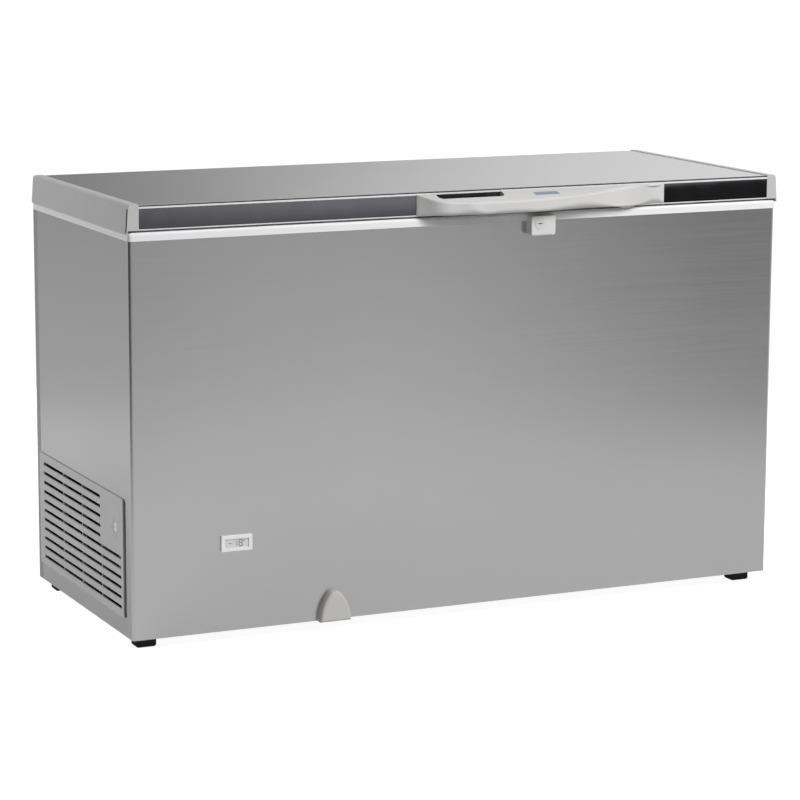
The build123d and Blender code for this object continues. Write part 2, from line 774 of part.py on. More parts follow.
def handle_section(x, reach):
    """The handle's cross-section at one station."""
    edge = handle_high - (handle_high - handle_edge) * reach / handle_reach
    outline = Polyline((0, handle_low), (-reach, handle_low), (-reach, edge), (0, handle_high), close=True)
    face = make_face(outline)
    for last, corner in ((0, min(11, reach * 0.3)), (-1, min(6, reach * 0.3))):
        front_corners = face.vertices().sort_by(Axis.X)[:2].sort_by(Axis.Y)
        face = fillet(front_corners[last], corner)
    return Plane(origin=(x, lid_front, 0), x_dir=(0, 1, 0), z_dir=(1, 0, 0)) * face


def make_handle_body():
    """The whole crescent, with the grip opening and the lock recess."""
    body = loft([handle_section(x, reach) for x, reach in handle_stations])
    grip = block(-78, 75, lid_front - 26, lid_front + 1, handle_low - 5, handle_high + 5)
    corners = grip.edges().filter_by(Axis.Z).sort_by(Axis.Y)
    grip = fillet(corners[:2], 12)
    return body - grip - block(138, 200, lid_front - 22, lid_front - 2, handle_low - 1, handle_low + 12)


def make_handle_badge():
    """A blank plate let into the top of the fairing."""
    slope = (handle_high - handle_edge) / handle_reach
    setback = 22
    surface = Plane(origin=(172, lid_front - setback, handle_high - slope * setback),
                    x_dir=(1, 0, 0), z_dir=(0, -slope, 1))
    return surface * Box(56, 13, 1.2)


def make_lock_keeper():
    """The steel strap under the handle that the cam hooks over."""
    y0, y1 = lid_front - 16, lid_front - 1
    keeper = block(132, 204, y0, y1, handle_low - 2, handle_low)
    return keeper - block(lock_x - 4.5, 200, y0 + 2, y1 - 2, handle_low - 3, handle_low + 1)


def make_lid_screws():
    """Screws that hold the hinge arms on the lid's back edge."""
    inward = Rot(-90, 0, 0) * screw(2.5, 4.6, 2.6, 2)
    return Compound(children=[
        Pos(sx * hinge_x + dx, lid_back + 2, z) * inward
        for sx in (-1, 1) for dx in (-14, 14) for z in (lid_bottom + 10, lid_top - 18)])


# ---------------------------------------------------------------- baskets
def make_basket(x0):
    """An open basket with four hooks that hang on the rim's ledges."""
    x1 = x0 + basket_width
    y0, y1 = tank_front + basket_gap, tank_back - basket_gap
    z0 = basket_top - basket_height
    basket = rounded_plan(x0, x1, y0, y1, 15, z0, basket_top)
    basket -= rounded_plan(x0 + basket_wall, x1 - basket_wall, y0 + basket_wall, y1 - basket_wall,
                           12, z0 + basket_wall, basket_top + 1)
    hook_low = rim_top - ledge_depth + 0.3
    hook_high = hook_low + 4
    reach = basket_gap + 8
    for x in (x0 + 40, x1 - 60):
        for wall, tip in ((y0, y0 - reach), (y1, y1 + reach)):
            inner = wall + basket_wall if tip < wall else wall - basket_wall
            riser = sorted((wall, inner))
            arm = sorted((inner, tip))
            basket += block(x, x + 20, riser[0], riser[1], basket_top - 10, hook_high)
            basket += block(x, x + 20, arm[0], arm[1], hook_low, hook_high)
    return basket


# ---------------------------------------------------------------- write every node
nodes = {
    "outer_wrapper": make_outer_wrapper(),
    "back_panel": make_back_panel(),
    "base_plate": bottom_plate(bay_right, half_width - sheet, panel_bottom + 2 * sheet),
    "compressor_tray": bottom_plate(-half_width + sheet, bay_right, tray_top),
    "bay_bulkhead": make_bay_bulkhead(),
    "tank": make_tank(),
    "evaporator_coil": tube_along(evaporator_points(), coil_bend, evaporator_radius),
    "condenser_coil": tube_along(condenser_points(), coil_bend, condenser_radius),
    "rim_frame": make_rim_frame(),
    "compressor": make_compressor(),
    "compressor_mounts": make_compressor_mounts(),
    "compressor_bolts": make_compressor_bolts(),
    "relay_box": make_relay_box(),
    "filter_drier": make_filter_drier(),
    "suction_pipe": make_suction_pipe(),
    "discharge_pipe": make_discharge_pipe(),
    "side_grille": make_side_grille(),
    "thermostat_body": make_thermostat_body(),
    "thermostat_knob": make_thermostat_knob(),
    "thermometer_bezel": make_thermometer_bezel(),
    "thermometer_window": make_thermometer_window(),
    "thermometer_case": make_thermometer_case(),
    "drain_tube": make_drain_tube(),
    "drain_plug": make_drain_plug(),
    "drain_cover": make_drain_cover(),
    "feet": make_feet(),
    "foot_screws": make_foot_screws(),
    "rear_cover": make_rear_cover(),
    "cable_gland": make_cable_gland(),
    "hinge_housing_left": make_hinge_housing(-hinge_x),
    "hinge_housing_right": make_hinge_housing(hinge_x),
    "hinge_pins": Compound(children=[make_hinge_pin(-hinge_x), make_hinge_pin(hinge_x)]),
    "hinge_springs": Compound(children=[make_hinge_spring(-hinge_x), make_hinge_spring(hinge_x)]),
    "hinge_plungers": Compound(children=[make_hinge_plunger(-hinge_x), make_hinge_plunger(hinge_x)]),
    "hinge_arms": Compound(children=[make_hinge_arm(-hinge_x), make_hinge_arm(hinge_x)]),
    "back_screws": make_back_screws(),
    "lock_housing": make_lock_housing(),
    "lock_cylinder": make_lock_cylinder(),
    "lock_cam": make_lock_cam(),
    "lock_keeper": make_lock_keeper(),
    "lid_front_profile": make_lid_front_profile(),
    "lid_front_band": make_lid_front_band(),
    "lid_top_skin": make_lid_top_skin(),
    "lid_insulation": make_lid_insulation(),
    "lid_inner_panel": make_lid_inner_panel(),
    "lid_rear_profile": make_lid_rear_profile(),
    "lid_end_cap_right": make_lid_end_cap(),
    "lid_gasket": make_lid_gasket(),
    "lid_screws": make_lid_screws(),
    "basket_left": make_basket(-tank_x + 25),
    "basket_right": make_basket(tank_x - 25 - basket_width),
}
nodes["lid_end_cap_left"] = mirror_x(nodes["lid_end_cap_right"])
for name, piece in make_insulation().items():
    nodes[f"insulation_{name}"] = piece

badge = make_handle_badge()
handle = make_handle_body() - badge
reach = cabinet_width
nodes["handle_badge"] = badge
nodes["handle_grip"] = handle & block(-reach, handle_seam, -reach, reach, 0, reach)
nodes["handle_fairing"] = handle & block(handle_seam, reach, -reach, reach, 0, reach)

for name, piece in nodes.items():
    save(name, piece)
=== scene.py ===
import math

import bmesh
import bpy
from mathutils import Matrix, Vector


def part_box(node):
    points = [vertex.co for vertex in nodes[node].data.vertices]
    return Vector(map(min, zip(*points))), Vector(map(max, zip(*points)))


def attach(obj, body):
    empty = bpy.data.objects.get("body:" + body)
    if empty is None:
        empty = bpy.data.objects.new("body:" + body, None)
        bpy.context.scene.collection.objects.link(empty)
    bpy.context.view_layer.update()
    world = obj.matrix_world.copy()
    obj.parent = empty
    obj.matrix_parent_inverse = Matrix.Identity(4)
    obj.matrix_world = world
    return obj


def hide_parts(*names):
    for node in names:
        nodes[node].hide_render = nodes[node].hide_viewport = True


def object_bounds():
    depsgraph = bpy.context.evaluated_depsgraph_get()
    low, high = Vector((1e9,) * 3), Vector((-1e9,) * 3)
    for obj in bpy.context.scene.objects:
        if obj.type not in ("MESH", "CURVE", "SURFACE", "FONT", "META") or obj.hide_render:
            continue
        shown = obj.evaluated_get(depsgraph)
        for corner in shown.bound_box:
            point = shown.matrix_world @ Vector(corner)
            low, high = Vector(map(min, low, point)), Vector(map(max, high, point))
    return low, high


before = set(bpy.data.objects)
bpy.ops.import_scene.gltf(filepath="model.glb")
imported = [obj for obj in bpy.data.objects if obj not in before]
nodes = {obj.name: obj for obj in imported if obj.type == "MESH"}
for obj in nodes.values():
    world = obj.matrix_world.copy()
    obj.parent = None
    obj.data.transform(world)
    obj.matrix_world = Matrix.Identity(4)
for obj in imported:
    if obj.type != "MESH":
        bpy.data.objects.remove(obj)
cad_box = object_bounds()


# ---------------------------------------------------------------- shader helpers
def begin(name):
    """A new material with its node tree and its shader."""
    material = bpy.data.materials.new(name)
    material.use_nodes = True
    tree = material.node_tree
    return material, tree, tree.nodes["Principled BSDF"]


def add(tree, kind, inputs=(), **settings):
    """A node with its settings, and a number or a link on each named input."""
    node = tree.nodes.new(kind)
    for key, value in settings.items():
        setattr(node, key, value)
    for key, value in dict(inputs).items():
        if isinstance(value, bpy.types.NodeSocket):
            tree.links.new(value, node.inputs[key])
        else:
            node.inputs[key].default_value = value
    return node


def place(tree, stretch=(1, 1, 1), shift=(0, 0, 0)):
    """The surface's own coordinates in metres, stretched and moved."""
    where = add(tree, "ShaderNodeTexCoord").outputs["Object"]
    mapping = add(tree, "ShaderNodeMapping", {"Vector": where, "Scale": stretch, "Location": shift})
    return mapping.outputs["Vector"]


def noise(tree, scale, stretch=(1, 1, 1), detail=3, rough=0.5, shift=(0, 0, 0)):
    """Smooth noise from 0 to 1."""
    vector = place(tree, stretch, shift)
    inputs = {"Vector": vector, "Scale": scale, "Detail": detail, "Roughness": rough}
    return add(tree, "ShaderNodeTexNoise", inputs).outputs["Fac"]


def cells(tree, scale, output, feature="F1"):
    """Voronoi cells, as their random colour or as the distance from each one's middle."""
    inputs = {"Vector": place(tree), "Scale": scale}
    return add(tree, "ShaderNodeTexVoronoi", inputs, feature=feature).outputs[output]


def spread(tree, value, low, high, start=0.3, end=0.7):
    """A value from start to end, spread over low to high."""
    inputs = {"Value": value, "From Min": start, "From Max": end, "To Min": low, "To Max": high}
    return add(tree, "ShaderNodeMapRange", inputs).outputs["Result"]


def sum_of(tree, first, second, operation="ADD"):
    """Two values put together."""
    node = add(tree, "ShaderNodeMath", operation=operation)
    for socket, value in zip(node.inputs, (first, second)):
        if isinstance(value, bpy.types.NodeSocket):
            tree.links.new(value, socket)
        else:
            socket.default_value = value
    return node.outputs["Value"]


def between(tree, factor, first, second):
    """A colour that goes from the first to the second with the factor."""
    mix = add(tree, "ShaderNodeMix", data_type="RGBA")
    tree.links.new(factor, mix.inputs["Factor"])
    mix.inputs[6].default_value = (*first, 1)
    mix.inputs[7].default_value = (*second, 1)
    return mix.outputs[2]


def relief(tree, shader, layers):
    """Bumps, each from a height, how high it is in metres and how strong."""
    normal = None
    for height, distance, strength in layers:
        inputs = {"Height": height, "Distance": distance, "Strength": strength}
        if normal is not None:
            inputs["Normal"] = normal
        normal = add(tree, "ShaderNodeBump", inputs).outputs["Normal"]
    tree.links.new(normal, shader.inputs["Normal"])


def shade(colour, change):
    """A colour made lighter or darker by a share of itself."""
    return tuple(min(1, part * (1 + change)) for part in colour)


def tint_base(tree, shader, factor, colour, darker, lighter):
    """The base colour, from a little darker to a little lighter with the factor."""
    mixed = between(tree, factor, shade(colour, -darker), shade(colour, lighter))
    tree.links.new(mixed, shader.inputs["Base Color"])


def set_roughness(tree, shader, fine, change, slow, low, high):
    """The roughness: a slow pattern from low to high, and a fine one that shifts it either way."""
    total = sum_of(tree, spread(tree, fine, -change, change), spread(tree, slow, low, high))
    tree.links.new(total, shader.inputs["Roughness"])


# ---------------------------------------------------------------- materials
def steel(name, across, tangent_axis, turn, colour=(0.6, 0.59, 0.594), rough=0.24):
    """Brushed stainless steel. across marks the axes that the grain lines lie across."""
    material, tree, shader = begin(name)
    fine = noise(tree, 1, [1400 if axis else 5 for axis in across], 4, 0.6)
    bands = noise(tree, 1, [150 if axis else 0.9 for axis in across], 3, 0.6)
    cloud = noise(tree, 2.1, detail=2)
    tone = sum_of(tree, spread(tree, fine, 0, 0.75), spread(tree, bands, 0, 0.25))
    tint_base(tree, shader, tone, colour, 0.03, 0.03)
    shine = sum_of(tree, spread(tree, fine, -0.02, 0.02), spread(tree, cloud, rough - 0.01, rough + 0.01))
    shine = sum_of(tree, shine, spread(tree, bands, -0.003, 0.003))
    tree.links.new(shine, shader.inputs["Roughness"])
    shader.inputs["Metallic"].default_value = 1
    shader.inputs["Anisotropic"].default_value = 0.4
    shader.inputs["Anisotropic Rotation"].default_value = turn
    tangent = add(tree, "ShaderNodeTangent", direction_type="RADIAL", axis=tangent_axis)
    tree.links.new(tangent.outputs["Tangent"], shader.inputs["Tangent"])
    relief(tree, shader, [(fine, 0.00002, 0.12)])
    return material


def moulded(name, colour, rough, grain=1300, height=0.00004, tone=0.03, strength=0.25):
    """Moulded plastic with a fine eroded texture and faint flow marks."""
    material, tree, shader = begin(name)
    texture = noise(tree, grain, detail=2)
    flow = noise(tree, 5, (1, 2, 3), 4)
    specks = noise(tree, 160, detail=3, shift=(3, 1, 2))
    tint_base(tree, shader, spread(tree, flow, 0, 1), colour, tone, tone)
    set_roughness(tree, shader, texture, 0.04, specks, rough - 0.03, rough + 0.03)
    relief(tree, shader, [(texture, height, strength), (flow, 0.0003, 0.08)])
    return material


def painted(name, colour, rough, metal=0.0):
    """Sprayed paint on sheet metal, with orange peel."""
    material, tree, shader = begin(name)
    peel = noise(tree, 420, detail=2)
    waves = noise(tree, 7, detail=2)
    tint_base(tree, shader, spread(tree, waves, 0, 1), colour, 0.04, 0.04)
    set_roughness(tree, shader, peel, 0.03, waves, rough - 0.03, rough + 0.03)
    shader.inputs["Metallic"].default_value = metal
    relief(tree, shader, [(peel, 0.00006, 0.3), (waves, 0.0006, 0.1)])
    return material


def stucco(name, colour):
    """White liner sheet with an embossed pattern."""
    material, tree, shader = begin(name)
    lumps = cells(tree, 170, "Distance", "SMOOTH_F1")
    frost = noise(tree, 12, detail=4)
    tint_base(tree, shader, spread(tree, frost, 0, 1), colour, 0.04, 0.03)
    tree.links.new(spread(tree, frost, 0.28, 0.42), shader.inputs["Roughness"])
    relief(tree, shader, [(lumps, 0.0009, 0.45)])
    return material


def spangled(name, colour, rough):
    """Galvanised sheet with its crystal pattern."""
    material, tree, shader = begin(name)
    tint = add(tree, "ShaderNodeSeparateColor", {"Color": cells(tree, 90, "Color")}).outputs["Red"]
    dust = noise(tree, 30, detail=4)
    tint_base(tree, shader, tint, colour, 0.15, 0.12)
    shine = spread(tree, tint, -0.08, 0.08, 0, 1)
    shine = sum_of(tree, shine, spread(tree, dust, rough - 0.05, rough + 0.1))
    tree.links.new(shine, shader.inputs["Roughness"])
    shader.inputs["Metallic"].default_value = 1
    relief(tree, shader, [(tint, 0.00004, 0.2), (dust, 0.0001, 0.1)])
    return material


def drawn_metal(name, colour, tarnish, rough, marks=260):
    """Plain metal with tarnish and fine tool marks."""
    material, tree, shader = begin(name)
    stain = noise(tree, 38, detail=5, rough=0.6)
    lines = noise(tree, marks, (1, 1, 4), 3)
    tree.links.new(between(tree, spread(tree, stain, 0, 1, 0.42, 0.75), colour, tarnish),
                   shader.inputs["Base Color"])
    set_roughness(tree, shader, lines, 0.05, stain, rough, rough + 0.18)
    shader.inputs["Metallic"].default_value = 1
    relief(tree, shader, [(lines, 0.00003, 0.2)])
    return material


def foam_look(name, colour):
    """Blown foam with open cells."""
    material, tree, shader = begin(name)
    pores = cells(tree, 420, "Distance")
    lumps = noise(tree, 40, detail=4)
    tint_base(tree, shader, spread(tree, lumps, 0, 1), colour, 0.15, 0.08)
    tree.links.new(spread(tree, lumps, 0.8, 0.95), shader.inputs["Roughness"])
    relief(tree, shader, [(pores, 0.0008, 0.6), (lumps, 0.003, 0.4)])
    return material


def rubber(name, colour, rough):
    """Matt rubber with a bloom."""
    material, tree, shader = begin(name)
    bloom = noise(tree, 60, detail=5, rough=0.65)
    skin = noise(tree, 1500, detail=2)
    tint_base(tree, shader, spread(tree, bloom, 0, 1), colour, 0, 0.7)
    tree.links.new(spread(tree, bloom, rough - 0.08, rough + 0.08), shader.inputs["Roughness"])
    relief(tree, shader, [(skin, 0.00006, 0.3)])
    return material


def glossy_band(name, colour):
    """The dark mirror strip on the lid's front, shaded as if very slightly dished."""
    material, tree, shader = begin(name)
    band_middle = sum(corner.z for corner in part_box("lid_front_band")) / 2
    film = noise(tree, 900, (0.02, 1, 1), 3)
    swirl = noise(tree, 26, detail=4)
    tint_base(tree, shader, spread(tree, swirl, 0, 1), colour, 0.06, 0.06)
    set_roughness(tree, shader, film, 0.01, swirl, 0.06, 0.1)
    shader.inputs["Metallic"].default_value = 1
    centred = place(tree, shift=(0, 0, -band_middle))
    height = add(tree, "ShaderNodeSeparateXYZ", {"Vector": centred}).outputs["Z"]
    dish = sum_of(tree, height, height, "MULTIPLY")
    relief(tree, shader, [(dish, 1.4, 1.0), (film, 0.00001, 0.1)])
    return material


def display_glass(name, colour):
    """The pale display behind its clear window."""
    material, tree, shader = begin(name)
    cloud = noise(tree, 90, detail=3)
    tint_base(tree, shader, spread(tree, cloud, 0, 1), colour, 0.03, 0.03)
    tree.links.new(spread(tree, cloud, 0.12, 0.2), shader.inputs["Roughness"])
    shader.inputs["Coat Weight"].default_value = 0.6
    shader.inputs["Coat Roughness"].default_value = 0.04
    relief(tree, shader, [(cloud, 0.0001, 0.1)])
    return material


LOOKS = {
    "back_paint": painted("back_paint_look", (0.36, 0.36, 0.365), 0.42, 0.3),
    "galvanised": spangled("galvanised_look", (0.55, 0.56, 0.57), 0.38),
    "tank_white": stucco("tank_white_look", (0.83, 0.84, 0.85)),
    "foam": foam_look("foam_look", (0.78, 0.68, 0.42)),
    "rim_white": moulded("rim_white_look", (0.84, 0.84, 0.84), 0.34, tone=0.015),
    "cap_grey": moulded("cap_grey_look", (0.53, 0.53, 0.535), 0.42),
    "profile_light": moulded("profile_light_look", (0.8, 0.8, 0.8), 0.32, tone=0.015),
    "band_dark": glossy_band("band_dark_look", (0.215, 0.215, 0.235)),
    "handle_plastic": moulded("handle_plastic_look", (0.63, 0.625, 0.615), 0.36, tone=0.02),
    "badge_blue": moulded("badge_blue_look", (0.23, 0.27, 0.37), 0.3),
    "lock_plastic": moulded("lock_plastic_look", (0.68, 0.675, 0.665), 0.36, tone=0.02),
    "lock_metal": painted("lock_metal_look", (0.8, 0.8, 0.79), 0.25, 0.35),
    "zinc_steel": drawn_metal("zinc_steel_look", (0.62, 0.63, 0.64), (0.48, 0.48, 0.47), 0.32),
    "gasket_grey": rubber("gasket_grey_look", (0.42, 0.42, 0.43), 0.6),
    "foot_black": moulded("foot_black_look", (0.008, 0.008, 0.009), 0.75, 900),
    "grille_grey": moulded("grille_grey_look", (0.55, 0.55, 0.55), 0.45, 1100, 0.00006),
    "knob_grey": moulded("knob_grey_look", (0.8, 0.8, 0.8), 0.3),
    "gauge_white": moulded("gauge_white_look", (0.86, 0.855, 0.845), 0.3, tone=0.01),
    "gauge_window": display_glass("gauge_window_look", (0.7, 0.69, 0.68)),
    "black_plastic": moulded("black_plastic_look", (0.025, 0.025, 0.027), 0.45),
    "drain_cover": moulded("drain_cover_look", (0.56, 0.55, 0.54), 0.4, tone=0.02),
    # The discharge pipe's copper is darkened to near black: painted shade, so the pipe reads dark where it
    # shows.
    "discharge_pipe": drawn_metal("discharge_pipe_shade_look", (0.13, 0.075, 0.05), (0.06, 0.035, 0.025), 0.4),
    "drain_plastic": moulded("drain_plastic_look", (0.8, 0.8, 0.79), 0.4),
    "copper": drawn_metal("copper_look", (0.78, 0.42, 0.28), (0.42, 0.22, 0.14), 0.28),
    "compressor_black": painted("compressor_black_look", (0.02, 0.02, 0.022), 0.35),
    "black_rubber": rubber("black_rubber_look", (0.03, 0.03, 0.03), 0.7),
    "basket_coating": moulded("basket_coating_look", (0.78, 0.79, 0.8), 0.3, 700),
}
WRAPPER_STEEL = steel("wrapper_steel", (0, 0, 1), "Z", 0.25, (0.71, 0.697, 0.703))
LID_STEEL = steel("lid_steel", (0, 1, 0), "X", 0.0)
INK = moulded("ink_look", (0.16, 0.165, 0.17), 0.5)
# Near-black for painted shade: strips and sheets put in gaps, slots and hollows where there is only shade.
SHADE_BLACK = rubber("painted_shade_look", (0.02, 0.02, 0.02), 0.9)

for name, piece in nodes.items():
    slot_name = piece.material_slots[0].material.name
    if slot_name == "stainless":
        look = LID_STEEL if name == "lid_top_skin" else WRAPPER_STEEL
    else:
        look = LOOKS.get(name, LOOKS[slot_name])
    piece.material_slots[0].material = look


# ---------------------------------------------------------------- added pieces
INK_THICK = 0.00012


def link(name, data, material, body):
    """An object for this data, which moves with a body."""
    data.materials.append(material)
    piece = bpy.data.objects.new(name, data)
    bpy.context.scene.collection.objects.link(piece)
    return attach(piece, body)


def from_faces(name, vertices, faces, material, body, smooth=False):
    """A mesh piece from its points and faces."""
    mesh = bpy.data.meshes.new(name)
    mesh.from_pydata(vertices, [], faces)
    mesh.validate()
    edit = bmesh.new()
    edit.from_mesh(mesh)
    bmesh.ops.recalc_face_normals(edit, faces=edit.faces)
    for face in edit.faces:
        face.smooth = smooth
    edit.to_mesh(mesh)
    edit.free()
    return link(name, mesh, material, body)


def slabs(outlines, lift):
    """Points and faces of flat pieces: each outline is raised by the lift vector into a thin slab."""
    vertices, faces = [], []
    for outline in outlines:
        first, count = len(vertices), len(outline)
        vertices += [Vector(p) for p in outline] + [Vector(p) + lift for p in outline]
        faces.append([first + k for k in range(count)])
        faces.append([first + count + k for k in reversed(range(count))])
        for k in range(count):
            after = (k + 1) % count
            faces.append([first + k, first + after, first + count + after, first + count + k])
    return vertices, faces


def soften(points, corner, closed=False, steps=6):
    """Points along a line whose corners are rounded."""
    points = [Vector(p) for p in points]
    count = len(points)
    result = []
    for k, bend in enumerate(points):
        if not closed and k in (0, count - 1):
            result.append(bend)
            continue
        before, after = points[k - 1], points[(k + 1) % count]
        entry = bend + (before - bend).normalized() * corner
        leave = bend + (after - bend).normalized() * corner
        for step in range(steps + 1):
            t = step / steps
            result.append(entry * (1 - t) ** 2 + bend * 2 * t * (1 - t) + leave * t ** 2)
    return result


def wire_piece(name, lines, material, body):
    """One curve with a round section along every line: its points, its radius and whether it closes."""
    unit_radius = 0.001
    curve = bpy.data.curves.new(name, "CURVE")
    curve.dimensions = "3D"
    curve.bevel_depth = unit_radius
    curve.bevel_resolution = 2
    curve.use_fill_caps = True
    for points, radius, closed in lines:
        spline = curve.splines.new("POLY")
        spline.points.add(len(points) - 1)
        for place_on, target in zip(spline.points, points):
            place_on.co = (*target, 1)
            place_on.radius = radius / unit_radius
        spline.use_cyclic_u = closed
    return link(name, curve, material, body)


def evenly(start, end, count):
    """Values spaced evenly from start to end."""
    return [start + (end - start) * k / (count - 1) for k in range(count)]


def make_basket(node):
    """A coated wire basket in the room that the CAD basket takes."""
    low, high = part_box(node)
    hook_reach, hook_drop = 0.020, 0.0113
    hook_wide, hook_bend = 0.016, 0.003
    rim, wire, hoop, hook = 0.00275, 0.0015, 0.002, 0.002
    wall = wire + 0.0005
    wire_bend = 0.014
    x0, x1 = low.x, high.x
    y0, y1 = low.y + hook_reach, high.y - hook_reach
    floor = low.z + wall
    top = high.z - hook_drop - rim
    # inset, height, wire radius and corner of each wire that goes all round
    rings = [
        (rim, top, rim, 0.015),
        (0.0045, low.z + 0.135, hoop, wire_bend),
        (0.0045, low.z + 0.07, hoop, wire_bend),
        (0.011, low.z + 0.0055, hoop, 0.012),
    ]
    lines = []
    for inset, z, radius, corner in rings:
        a, b = x0 + inset, x1 - inset
        c, d = y0 + inset, y1 - inset
        points = soften([(a, c, z), (b, c, z), (b, d, z), (a, d, z)], corner, closed=True)
        lines.append((points, radius, True))
    for x in evenly(x0 + 0.016, x1 - 0.016, 13):
        route = [(x, y0 + wall, top), (x, y0 + wall, floor),
                 (x, y1 - wall, floor), (x, y1 - wall, top)]
        lines.append((soften(route, wire_bend), wire, False))
    upper = floor + 2 * wire
    for y in evenly(y0 + 0.02, y1 - 0.02, 10):
        route = [(x0 + wall, y, top), (x0 + wall, y, upper),
                 (x1 - wall, y, upper), (x1 - wall, y, top)]
        lines.append((soften(route, wire_bend), wire, False))
    z = high.z - hook
    for x in (x0 + 0.042, x1 - 0.058):
        for side, tip in ((y0 + rim, low.y + hook), (y1 - rim, high.y - hook)):
            far = x + hook_wide
            route = [(x, side, top), (x, side, z), (x, tip, z),
                     (far, tip, z), (far, side, z), (far, side, top)]
            lines.append((soften(route, hook_bend), hook, False))
    basket = wire_piece(f"wire_{node}", lines, LOOKS["basket_coating"], node)
    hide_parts(node)


def make_gasket():
    """The lid seal, a soft profile with two lips, all round."""
    low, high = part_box("lid_gasket")
    width, height = 0.016, high.z - low.z
    # across the seal from its outer edge, and up from the rim, both as shares
    profile = [(0, 1), (0.03, 0.35), (0.1, 0.08), (0.3, 0), (0.4, 0.2), (0.5, 0.28), (0.6, 0.2),
               (0.7, 0), (0.9, 0.08), (0.97, 0.35), (1, 1)]
    corner, steps = 0.018, 8
    vertices, faces = [], []
    centres = [(high.x - corner, high.y - corner, 0), (low.x + corner, high.y - corner, 90),
               (low.x + corner, low.y + corner, 180), (high.x - corner, low.y + corner, 270)]
    for x, y, start in centres:
        for step in range(steps + 1):
            angle = math.radians(start + 90 * step / steps)
            for inward, up in profile:
                out = corner - inward * width
                vertices.append((x + out * math.cos(angle), y + out * math.sin(angle), low.z + up * height))
    rings, points = 4 * (steps + 1), len(profile)
    for k in range(rings):
        after = (k + 1) % rings
        for j in range(points):
            beside = (j + 1) % points
            faces.append([k * points + j, k * points + beside, after * points + beside, after * points + j])
    gasket = from_faces("seal_profile", vertices, faces, LOOKS["gasket_grey"], "lid", smooth=True)
    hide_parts("lid_gasket")


def make_digits():
    """Seven-segment figures on the thermometer's display."""
    low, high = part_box("thermometer_window")
    face = low.y
    tall, wide, stroke = 0.0125, 0.0072, 0.0017
    margin, pitch = 0.008, 0.0118
    middle = (low.z + high.z) / 2
    segments = {"a": ((0, 2), (1, 2)), "b": ((1, 2), (1, 1)), "c": ((1, 1), (1, 0)), "d": ((0, 0), (1, 0)),
                "e": ((0, 1), (0, 0)), "f": ((0, 2), (0, 1)), "g": ((0, 1), (1, 1))}
    shown = [(0, "g"), (1, "bc"), (2, "abcdefg")]
    outlines = []
    for position, lit in shown:
        left = low.x + margin + position * pitch
        for key in lit:
            (ax, az), (bx, bz) = segments[key]
            start = Vector((left + ax * wide, face, middle + (az - 1) * tall / 2))
            end = Vector((left + bx * wide, face, middle + (bz - 1) * tall / 2))
            along = (end - start).normalized()
            beside = along.cross(Vector((0, 1, 0))) * stroke / 2
            gap = stroke * 0.6
            start, end = start + along * gap, end - along * gap
            point = along * stroke / 2
            outlines.append([start - point, start + beside, end + beside,
                             end + point, end - beside, start - beside])
    ring_x, ring_z, ring_radius, ring_hole = low.x + 0.0425, middle + 0.0044, 0.0017, 0.55
    around = [Vector((math.cos(a), 0, math.sin(a))) for a in (math.tau * k / 12 for k in range(12))]
    for first, second in zip(around, around[1:] + around[:1]):
        centre = Vector((ring_x, face, ring_z))
        outlines.append([centre + first * ring_radius, centre + second * ring_radius,
                         centre + second * ring_radius * ring_hole, centre + first * ring_radius * ring_hole])
    vertices, faces = slabs(outlines, Vector((0, -INK_THICK, 0)))
    from_faces("display_figures", vertices, faces, INK, "cabinet")


def make_dial_scale():
    """Ticks and numbers round the thermostat knob."""
    low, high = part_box("thermostat_knob")
    centre = Vector((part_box("side_grille")[0].x, (low.y + high.y) / 2, (low.z + high.z) / 2))
    first_angle, step = -150, 25
    inner, long_tick, short_tick, half_wide = 0.0145, 0.0175, 0.016, 0.0003
    number_circle, number_tall = 0.0218, 0.0062

    def outward(turned):
        angle = math.radians(turned)
        return Vector((0, -math.sin(angle), math.cos(angle)))

    outlines = []
    for k in range(13):
        out = outward(first_angle + step * k)
        beside = out.cross(Vector((1, 0, 0))) * half_wide
        outer = long_tick if k % 2 == 0 else short_tick
        outlines.append([centre + out * inner + beside, centre + out * outer + beside,
                         centre + out * outer - beside, centre + out * inner - beside])
    vertices, faces = slabs(outlines, Vector((-INK_THICK, 0, 0)))
    from_faces("dial_ticks", vertices, faces, INK, "cabinet")
    turn = Matrix(((0, 0, -1), (-1, 0, 0), (0, 1, 0))).to_4x4()
    for number in range(1, 8):
        out = outward(first_angle + 2 * step * (number - 1))
        text = bpy.data.curves.new(f"dial_number_{number}", "FONT")
        text.body = str(number)
        text.size = number_tall
        text.align_x, text.align_y = "CENTER", "CENTER"
        text.extrude = INK_THICK / 2
        figure = bpy.data.objects.new(f"dial_number_{number}", text)
        text.materials.append(INK)
        spot = centre + out * number_circle + Vector((-INK_THICK / 2, 0, 0))
        figure.matrix_world = Matrix.Translation(spot) @ turn
        bpy.context.scene.collection.objects.link(figure)
        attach(figure, "cabinet")


def make_slab(name, outline, lift, body):
    """A near-black flat piece of painted shade on an outline, as thick as the lift."""
    vertices, faces = slabs([outline], Vector(lift))
    from_faces(name, vertices, faces, SHADE_BLACK, body)


def upright(x0, x1, y, z0, z1):
    """A rectangle that faces the front or the back."""
    return [(x0, y, z0), (x1, y, z0), (x1, y, z1), (x0, y, z1)]


def make_dust_mat():
    """Painted shade: a near-black sheet behind the rear cover's slots."""
    low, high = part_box("rear_cover")
    side_inset, end_inset = 0.016, 0.014
    near, far = low.y - 0.0045, low.y - 0.0015
    outline = upright(low.x + side_inset, high.x - side_inset, near, low.z + end_inset, high.z - end_inset)
    make_slab("rear_slot_shade", outline, (0, far - near, 0), "cabinet")


def make_edge_seal():
    """Painted shade: a near-black strip along the front fold of the lid's skin, for the shadow in the gap
    there.
    """
    low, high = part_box("lid_top_skin")
    proud = 0.0002
    outline = upright(low.x, high.x, low.y, high.z - 0.0032, high.z - 0.0009)
    make_slab("edge_gap_shade", outline, (0, -proud, 0), "lid")


